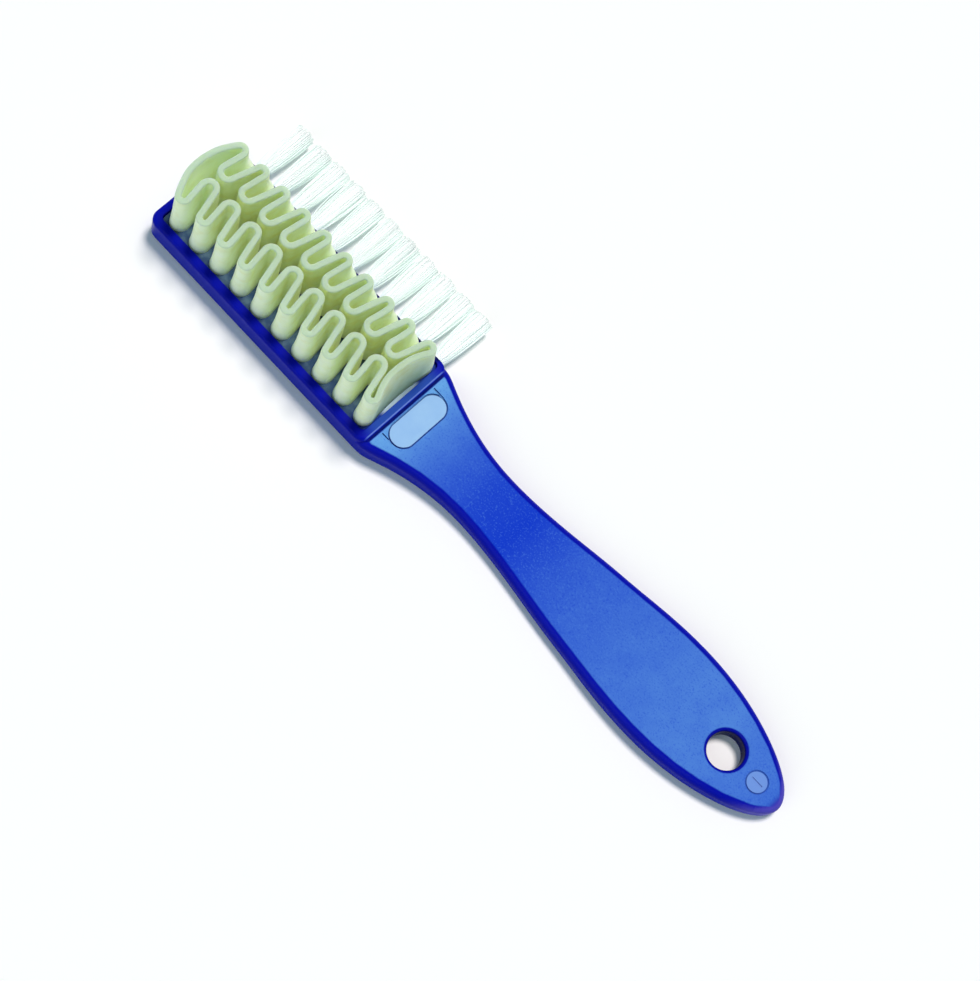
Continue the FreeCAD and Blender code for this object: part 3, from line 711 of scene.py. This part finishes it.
@dataclass(frozen=True)
class PaleGround:
    """The plain white ground, which keeps the brush's shadow."""

    colour: Colour = (0.97, 0.97, 0.965)
    lift: float = 0.04

    def make(self) -> bpy.types.Material:
        """Build the material."""
        shader = Shader.material("pale_ground")
        matte = shader.read("ShaderNodeBsdfDiffuse", "BSDF", None, {"Color": self.colour})
        white = shader.read("ShaderNodeEmission", "Emission", None, {"Strength": 1.0})
        seen = shader.background() * self.lift
        return shader.close(shader.read("ShaderNodeMixShader", 0, None, {0: seen, 1: matte, 2: white}))


def mesh_piece(
    name: str, points: np.ndarray, faces: Sequence[Sequence[int]], material: bpy.types.Material
) -> bpy.types.Object:
    """Make an object from points and faces, shaded smooth.

    Args:
        name: The piece's name.
        points: One row of x, y and z for each point, in metres.
        faces: The point numbers of each face.
        material: What it is made of.

    Returns:
        The object, in the scene.
    """
    mesh = bpy.data.meshes.new(name)
    mesh.from_pydata(points.tolist(), [], [list(face) for face in faces])
    mesh.validate()
    mesh.materials.append(material)
    mesh.shade_smooth()
    piece = bpy.data.objects.new(name, mesh)
    bpy.context.scene.collection.objects.link(piece)
    return piece


def tag_points(piece: bpy.types.Object, name: str, values: Sequence[float]) -> None:
    """Store one number for each point of a piece, for its material to read.

    Args:
        piece: The piece.
        name: The attribute's name.
        values: The numbers, in the points' order.
    """
    piece.data.attributes.new(name, "FLOAT", "POINT").data.foreach_set("value", values)


def ring_faces(rings: int, around: int, closed: bool, start: int = 0) -> List[Tuple[int, ...]]:
    """Join rings of points with four-sided faces.

    Args:
        rings: How many rings there are.
        around: How many points each ring has.
        closed: Whether the last ring joins the first.
        start: The number of the first point.

    Returns:
        The faces.
    """
    faces = []
    for ring in range(rings if closed else rings - 1):
        here = start + ring * around
        there = start + (ring + 1) % rings * around
        for spot in range(around):
            after = (spot + 1) % around
            faces.append((here + spot, here + after, there + after, there + spot))
    return faces


def dress_node(name: str, material: bpy.types.Material, slot: Slot, sharp_degrees: float) -> None:
    """Give a solid carried over from the frame its finish.

    Args:
        name: The node's name.
        material: Its material.
        slot: The record's slot; not used.
        sharp_degrees: Edges that turn more than this stay sharp.
    """
    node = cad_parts[name]
    node.data.materials.clear()
    node.data.materials.append(material)
    node.data.shade_smooth()
    node.data.set_sharp_from_angle(angle=math.radians(sharp_degrees))
    LOG.info("dressed %s", name)


@dataclass
class Handle:
    """The moulded handle, carried over from the frame."""

    finish: MouldedBlue = field(default_factory=MouldedBlue)
    sharp_degrees: float = 32.0

    def build(self) -> None:
        """Dress the handle's node."""
        dress_node("handle", self.finish.make(), Slot.HANDLE, self.sharp_degrees)


@dataclass(frozen=True)
class Bend:
    """One circle of the crepe wall's centre line; a plus radius turns left, a minus one right."""

    x: float
    y: float
    radius: float
    least_squared: float = 1e-12

    def heading(self, after: "Bend") -> float:
        """Return the direction of the line from this bend to the next.

        Args:
            after: The next bend.

        Returns:
            The direction, in radians.
        """
        span_x = after.x - self.x
        span_y = after.y - self.y
        turn = after.radius - self.radius
        squared = span_x ** 2 + span_y ** 2 - turn ** 2
        length = math.sqrt(squared) if squared > self.least_squared else 0.0
        return math.atan2(span_y, span_x) - math.atan2(turn, length)

    def at(self, direction: float) -> Pair:
        """Return the point of the bend where the wall runs in a direction."""
        return self.x + self.radius * math.sin(direction), self.y - self.radius * math.cos(direction)


@dataclass
class CrepeInsert:
    """The closed wavy wall of crepe rubber that stands on a thin plate in the head's tray."""

    finish: CrepeRubber = field(default_factory=CrepeRubber)
    plate_finish: CrepePlate = field(default_factory=CrepePlate)
    tray_far: float = -93.1 * MM
    tray_near: float = -27.2 * MM
    tray_front: float = 11.2 * MM
    tray_rear: float = 12.3 * MM
    floor: float = 6.4 * MM
    height: float = 16.0 * MM
    wall_base: float = 2.0 * MM
    wall_top: float = 1.5 * MM
    side_gap: float = 0.75 * MM
    rear_gap: float = 0.5 * MM
    near_gap: float = 0.3 * MM
    far_gap: float = 0.953 * MM
    middle_gap: float = 0.3 * MM
    lobe_hollow: float = 0.2 * MM
    fold_hollow: float = 0.7 * MM
    lean: float = 1.2 * MM
    steps: int = 9
    far_bulge: Pair = (0.6 * MM, 2.8 * MM)
    near_sag: Pair = (0.8 * MM, 2.3 * MM)
    lip_round: float = 0.42 * MM
    lip_degrees: Tuple[float, ...] = (20.0, 42.0, 64.0, 90.0)
    wall_rows: int = 10
    bend_points: int = 14
    end_points: int = 36
    line_points: int = 10
    small_bend: float = 3.0 * MM
    least_line: float = 0.01 * MM
    foot_flare: float = 0.45 * MM
    flare_share: float = 0.55
    flare_ends: Pair = (1.4 * MM, 3.4 * MM)
    rear_flare: float = 0.55 * MM
    rear_flare_from: Pair = (5.5 * MM, 8.5 * MM)
    rear_belly: float = 0.75 * MM
    rear_square: float = 0.5
    belly_rise: Tuple[float, float, float] = (0.04, 0.25, 0.68)
    plate: float = 0.6 * MM
    plate_gap: float = 0.15 * MM
    plate_corner: float = 1.05 * MM
    plate_rings: Tuple[Pair, ...] = ((0.0, 0.0), (0.0, 0.7), (0.12 * MM, 0.95), (0.4 * MM, 1.0))
    corner_points: int = 8
    wobble: float = 0.10 * MM
    wobble_size: float = 4.0 * MM
    sag_scale: float = 0.5
    outer_fold: float = 1.6
    inner_fold: Pair = (0.35, 1.1)
    fold_fade: float = 9.0 * MM

    def bends(self, rear_reach: float, far_bulge: float, near_sag: float) -> List[Bend]:
        """List the centre line's circles, clockwise from the handle's end.

        Args:
            rear_reach: How far the bristle side's lobes reach from the middle.
            far_bulge: The bulge of the far end wall.
            near_sag: The inward sag of the near end wall.

        Returns:
            The bends.
        """
        half = self.wall_base / 2
        outer = half + self.lobe_hollow
        inner = half + self.fold_hollow
        lobe_y = {Side.FRONT: self.tray_front - self.side_gap - half - outer,
                  Side.REAR: rear_reach - half - outer}
        inner_y = self.middle_gap / 2 + half + inner
        first_x = self.tray_near - self.near_gap - half - outer
        last_x = self.tray_far + self.far_gap + half + outer
        pitch = (first_x - last_x) / self.steps

        def row(side: Side) -> List[Bend]:
            """List one long side's bends from the handle's end."""
            outer_y = side.value * lobe_y[side]
            found = [Bend(first_x, outer_y, -outer)]
            for step in range(self.steps):
                x = first_x - step * pitch
                found.append(Bend(x - pitch / 2 - self.lean, side.value * inner_y, inner))
                found.append(Bend(x - pitch, outer_y, -outer))
            return found

        span = (lobe_y[Side.REAR] + lobe_y[Side.FRONT]) / 2
        middle = (lobe_y[Side.REAR] - lobe_y[Side.FRONT]) / 2
        far = (span ** 2 - far_bulge ** 2) / (2 * far_bulge)
        near = (span ** 2 - near_sag ** 2) / (2 * near_sag)
        near_wall = Bend(first_x + near, middle, near + near_sag - outer)
        far_wall = Bend(last_x + far, middle, -(far + far_bulge + outer))
        return [near_wall] + row(Side.FRONT) + [far_wall] + row(Side.REAR)[::-1]

    def trace(self, bends: Sequence[Bend]) -> np.ndarray:
        """Follow the centre line in small steps.

        Args:
            bends: The centre line's circles.

        Returns:
            One row for each point: x, y and the direction there.
        """
        headings = [bend.heading(after) for bend, after in zip(bends, [*bends[1:], bends[0]])]
        rows = []
        for index, bend in enumerate(bends):
            arrive = headings[index - 1]
            turn = (headings[index] - arrive) % (2 * math.pi)
            if bend.radius < 0:
                turn -= 2 * math.pi
            count = self.bend_points if abs(bend.radius) < self.small_bend else self.end_points
            for share in np.linspace(0.0, 1.0, count):
                rows.append((*bend.at(arrive + turn * share), arrive + turn * share))
            start = np.array(bend.at(headings[index]))
            end = np.array(bends[(index + 1) % len(bends)].at(headings[index]))
            if np.linalg.norm(end - start) > self.least_line:
                for share in np.linspace(0.0, 1.0, self.line_points)[1:-1]:
                    rows.append((*(start + (end - start) * share), headings[index]))
            else:
                rows.pop()
        return np.array(rows)

    def section(self) -> np.ndarray:
        """Return the wall's cross section: sideways share of the thickness, and height."""
        heights = np.linspace(0.0, self.height - self.lip_round, self.wall_rows)
        straight = [(1.0, height) for height in heights]
        half = self.wall_top / 2
        lip = []
        for degrees in self.lip_degrees:
            angle = math.radians(degrees)
            inward = 1.0 - self.lip_round / half * (1.0 - math.cos(angle))
            lip.append((inward, self.height - self.lip_round * (1.0 - math.sin(angle))))
        side = straight + lip
        return np.array(side + [(-share, height) for share, height in side[::-1]])

    def build(self) -> None:
        """Make the wall and the plate in place of the solid."""
        wall = self.build_wall()
        plate = self.build_plate()
        for piece in (wall, plate):
            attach(piece, "root")
            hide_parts("crepe_insert")
            LOG.info("built %s", piece.name)

    def build_wall(self) -> bpy.types.Object:
        """Sweep the cross section along the centre line."""
        rear_foot = self.tray_rear - self.rear_gap
        rear_top = self.tray_front - self.side_gap
        base = self.trace(self.bends(rear_foot, self.far_bulge[0], self.near_sag[0]))
        top = self.trace(self.bends(rear_top, self.far_bulge[1], self.near_sag[1]))
        change = top - base
        change[:, 2] = (change[:, 2] + math.pi) % (2 * math.pi) - math.pi
        section = self.section()
        points = []
        folds = []
        for foot, shift in zip(base, change):
            for share, height in section:
                rise = height / self.height
                x, y, direction = foot + shift * rise
                half = (self.wall_base + (self.wall_top - self.wall_base) * rise) / 2
                spot = Vector((x, y, height)) / self.wobble_size
                sway = self.wobble * rise * noise.noise(spot)
                across = share * half + sway
                wider_x, wider_y = self.foot_spread(x, y, rise, direction) if share > 0 else (0.0, 0.0)
                x -= math.sin(direction) * (across + wider_x)
                y += math.cos(direction) * (across + wider_y)
                sag = self.wobble * rise * abs(noise.noise(spot * self.sag_scale))
                points.append((x, y, self.floor + height - sag))
                folds.append(self.fold_depth(x, y, share))
        faces = ring_faces(len(base), len(section), True)
        piece = mesh_piece("crepe_wall", np.array(points), faces, self.finish.make())
        # The fold depth drives the painted shade in the folds.
        tag_points(piece, "fold", folds)
        return piece

    def foot_spread(self, x: float, y: float, rise: float, direction: float) -> Pair:
        """Return how far the wall's outer face spreads towards its foot.

        Args:
            x: The point's place along the head.
            y: Its place across the head.
            rise: Its height, as a share of the wall's height.
            direction: The direction in which the wall runs there.

        Returns:
            The spread along and across the head, which dies out at the end walls.
        """
        inside = min(x - self.tray_far, self.tray_near - x)
        share = np.interp(inside, self.flare_ends, (0.0, 1.0))
        foot = share * max(0.0, 1.0 - rise / self.flare_share) ** 2
        rear = np.interp(y, self.rear_flare_from, (0.0, 1.0))
        swell = np.interp(rise, self.belly_rise, (0.0, 1.0, 0.0))
        belly = share * rear * 0.5 * (1.0 - math.cos(math.pi * swell)) * self.rear_belly
        across = foot * self.foot_flare + belly
        square = 1.0 + self.rear_square * rear * math.sin(2.0 * direction) ** 2
        return (across + foot * rear * self.rear_flare) * square, across * square

    def fold_depth(self, x: float, y: float, share: float) -> float:
        """Return how deep in the folds a point lies, 0 to 1, for the painted shade in the folds.

        Args:
            x: The point's place along the head.
            y: Its place across the head.
            share: 1 on the wall's outer face, -1 on its inner face.

        Returns:
            The depth.
        """
        from_side = 1.0 - abs(y) / self.tray_front
        from_end = min(1.0, (x - self.tray_far) / self.fold_fade)
        start, gain = (0.0, self.outer_fold) if share > 0 else self.inner_fold
        depth = start + from_side * gain
        return min(1.0, max(0.0, depth)) * from_end

    def build_plate(self) -> bpy.types.Object:
        """Make the thin plate with round corners and a soft top edge."""
        half_x = (self.tray_near - self.tray_far) / 2 - self.plate_gap
        half_y = (self.tray_rear + self.tray_front) / 2 - self.plate_gap
        middle_x = (self.tray_near + self.tray_far) / 2
        middle_y = (self.tray_rear - self.tray_front) / 2
        corners = ((1, 1), (-1, 1), (-1, -1), (1, -1))
        points = []
        for inset, height_share in self.plate_rings:
            for quarter, (sign_x, sign_y) in enumerate(corners):
                for share in np.linspace(0.0, math.pi / 2, self.corner_points):
                    angle = quarter * math.pi / 2 + share
                    reach = self.plate_corner - inset
                    points.append((
                        middle_x + sign_x * (half_x - self.plate_corner) + reach * math.cos(angle),
                        middle_y + sign_y * (half_y - self.plate_corner) + reach * math.sin(angle),
                        self.floor + self.plate * height_share,
                    ))
        rings = len(self.plate_rings)
        around = len(points) // rings
        faces = ring_faces(rings, around, False)
        faces.append(tuple(range(len(points) - around, len(points))))
        faces.append(tuple(range(around))[::-1])
        return mesh_piece("crepe_plate", np.array(points), faces, self.plate_finish.make())


@dataclass
class BristleRow:
    """The row of tufts in the head's side, filament by filament."""

    finish: NylonFilament = field(default_factory=NylonFilament)
    count: int = 11
    face_y: float = 13.4 * MM
    hidden: float = 5.0 * MM
    root_radius: float = 1.44 * MM
    tip_spread: Pair = (2.75 * MM, 2.30 * MM)
    filaments: int = 110
    thickness: float = 0.28 * MM
    around: int = 6
    stations: Tuple[float, ...] = (0.0, 0.26, 0.38, 0.52, 0.68, 0.84, 1.0)
    flare: float = 2.8
    tuft_sway: float = 0.10 * MM
    tip_stray: float = 0.13 * MM
    cut_spread: float = 0.22 * MM
    crown: float = 0.25 * MM
    bow_spread: float = 0.10 * MM
    seed: int = 11

    def build(self) -> None:
        """Make each tuft in place of its solid."""
        material = self.finish.make()
        for number in range(1, self.count + 1):
            node = f"tuft_{number:02d}"
            piece = self.build_tuft(number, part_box(node), material)
            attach(piece, "root")
            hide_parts(node)
            LOG.info("built %s", piece.name)

    def build_tuft(
        self, number: int, box: Tuple[Vector, Vector], material: bpy.types.Material
    ) -> bpy.types.Object:
        """Make one tuft.

        Args:
            number: The tuft's number in the row.
            box: The lowest and highest corner of its solid.
            material: The filaments' material.

        Returns:
            The tuft, as one mesh.
        """
        draw = np.random.default_rng(self.seed + number)
        low, high = box
        axis = np.array([(low.x + high.x) / 2, 0.0, (low.z + high.z) / 2])
        sway = draw.normal(0.0, self.tuft_sway, 2)
        opened = np.array([self.tip_spread[0], 0.0, self.tip_spread[1]])
        points = []
        faces = []
        flanks = []
        for index in range(self.filaments):
            spread = math.sqrt((index + 0.5) / self.filaments)
            angle = index * GOLDEN_ANGLE
            out = np.array([math.cos(angle), 0.0, math.sin(angle)]) * spread
            root = axis + out * self.root_radius + (0.0, self.face_y - self.hidden, 0.0)
            stray = draw.normal(0.0, self.tip_stray, 2)
            end = high.y - abs(draw.normal(0.0, self.cut_spread)) - self.crown * spread ** 2
            tip = axis + out * opened + (sway[0] + stray[0], end, sway[1] + stray[1])
            bow = draw.normal(0.0, self.bow_spread, 2)
            faces.extend(self.filament_faces(len(points)))
            points.extend(self.filament_points(root, tip, bow))
            # The flank share drives the painted shade on the tufts' flanks.
            flanks.extend([max(abs(out[0]), -out[2])] * (len(self.stations) * self.around))
        piece = mesh_piece(f"bristles_{number:02d}", np.array(points), faces, material)
        tag_points(piece, "flank", flanks)
        return piece

    def filament_points(self, root: np.ndarray, tip: np.ndarray, bow: np.ndarray) -> List[np.ndarray]:
        """List one filament's points, ring by ring.

        Args:
            root: Where it starts, in the hole.
            tip: Where it is cut.
            bow: How far its middle bends aside.

        Returns:
            The points.
        """
        points = []
        straight = self.hidden / (tip[1] - root[1])
        for station in self.stations:
            free = max(0.0, station - straight) / (1.0 - straight)
            opening = 1.0 - (1.0 - free) ** self.flare
            centre = np.array([
                root[0] + (tip[0] - root[0]) * opening + bow[0] * math.sin(opening * math.pi),
                root[1] + (tip[1] - root[1]) * station,
                root[2] + (tip[2] - root[2]) * opening + bow[1] * math.sin(opening * math.pi),
            ])
            for turn in np.arange(self.around) * 2.0 * math.pi / self.around:
                across = np.array([math.cos(turn), 0.0, math.sin(turn)])
                points.append(centre + across * self.thickness / 2)
        return points

    def filament_faces(self, start: int) -> List[Tuple[int, ...]]:
        """List one filament's faces, with both ends closed.

        Args:
            start: The number of its first point.

        Returns:
            The faces.
        """
        rings = len(self.stations)
        faces = ring_faces(rings, self.around, False, start)
        last = start + (rings - 1) * self.around
        faces.append(tuple(range(start, start + self.around))[::-1])
        faces.append(tuple(range(last, last + self.around)))
        return faces


@dataclass
class AnchorSet:
    """The flat wires that hold the tufts, carried over from the frame."""

    finish: AnchorSteel = field(default_factory=AnchorSteel)
    count: int = 11
    sharp_degrees: float = 30.0

    def build(self) -> None:
        """Dress each anchor's node."""
        material = self.finish.make()
        for number in range(1, self.count + 1):
            dress_node(f"tuft_anchor_{number:02d}", material, Slot.ANCHOR, self.sharp_degrees)


@dataclass(frozen=True)
class SoftSun:
    """A broad, even lamp: where it shines from, how wide it looks and how strong it is."""

    name: str
    shines_from: Tuple[float, float, float]
    spread_degrees: float
    strength: float
    colour: Colour

    def hang(self) -> None:
        """Add the lamp to the scene."""
        lamp = bpy.data.lights.new(self.name, "SUN")
        lamp.angle = math.radians(self.spread_degrees)
        lamp.energy = self.strength
        lamp.color = self.colour
        holder = bpy.data.objects.new(self.name, lamp)
        away = Vector(self.shines_from).normalized()
        holder.location = away
        holder.rotation_mode = "QUATERNION"
        holder.rotation_quaternion = (-away).to_track_quat("-Z", "Y")
        bpy.context.scene.collection.objects.link(holder)


@dataclass
class Studio:
    """The ground, the soft lamps and the camera."""

    ground: PaleGround = field(default_factory=PaleGround)
    ground_half: float = 3.0
    ground_drop: float = 0.02 * MM
    eye: Tuple[float, float, float] = (54.775 * MM, -185.271 * MM, 585.388 * MM)
    target: Tuple[float, float, float] = (0.640 * MM, 2.374 * MM, 3.0 * MM)
    roll: float = -0.8127
    focal_pixels: float = 2768.5
    image_width: float = 980.0
    sensor: float = 36.0
    clip: Pair = (0.01, 20.0)
    lamps: Tuple[SoftSun, ...] = (
        SoftSun("key", (-0.02, 0.33, 1.0), 16.0, 2.72, (1.0, 0.92, 0.90)),
        SoftSun("fill", (-0.10, -1.20, 1.0), 50.0, 0.60, (0.88, 1.0, 1.0)),
    )
    ambient: Colour = (0.47, 0.95, 1.05)
    ambient_strength: float = 0.17

    def build(self) -> None:
        """Set up the whole studio."""
        self.build_ground()
        self.build_world()
        for lamp in self.lamps:
            lamp.hang()
        self.build_camera()
        bpy.context.scene.view_settings.view_transform = "Standard"

    def build_ground(self) -> None:
        """Lay the ground just under the brush."""
        corners = ((-1, -1), (1, -1), (1, 1), (-1, 1))
        half = self.ground_half
        points = np.array([(x * half, y * half, -self.ground_drop) for x, y in corners])
        mesh_piece("ground", points, [(0, 1, 2, 3)], self.ground.make())

    def build_world(self) -> None:
        """Light the scene evenly from all round, before a white background."""
        world = bpy.data.worlds.new("studio")
        bpy.context.scene.world = world
        shader = Shader(world)
        soft = shader.read(
            "ShaderNodeBackground", 0, None, {"Color": self.ambient, "Strength": self.ambient_strength}
        )
        white = shader.read("ShaderNodeBackground", 0, None, {"Color": (1.0, 1.0, 1.0), "Strength": 1.0})
        mixed = shader.read("ShaderNodeMixShader", 0, None, {0: shader.background(), 1: soft, 2: white})
        shader.node("ShaderNodeOutputWorld", None, {"Surface": mixed})

    def build_camera(self) -> None:
        """Put the camera where the photograph was taken from."""
        eye = Vector(self.eye)
        forward = (Vector(self.target) - eye).normalized()
        along = Vector((1.0, 0.0, 0.0))
        along = (along - forward * along.dot(forward)).normalized()
        below = forward.cross(along)
        right = along * math.cos(self.roll) + below * math.sin(self.roll)
        down = below * math.cos(self.roll) - along * math.sin(self.roll)
        data = bpy.data.cameras.new("camera")
        data.sensor_fit = "HORIZONTAL"
        data.sensor_width = self.sensor
        data.lens = self.focal_pixels * self.sensor / self.image_width
        data.clip_start, data.clip_end = self.clip
        camera = bpy.data.objects.new("camera", data)
        turned = Matrix((right, -down, -forward)).transposed().to_4x4()
        camera.matrix_world = Matrix.Translation(eye) @ turned
        bpy.context.scene.collection.objects.link(camera)
        bpy.context.scene.camera = camera


def main() -> None:
    """Build the brush and its studio in order."""
    logging.basicConfig(level=logging.INFO, format="%(name)s: %(message)s")
    Handle().build()
    CrepeInsert().build()
    BristleRow().build()
    AnchorSet().build()
    Studio().build()


if __name__ == "__main__":
    main()
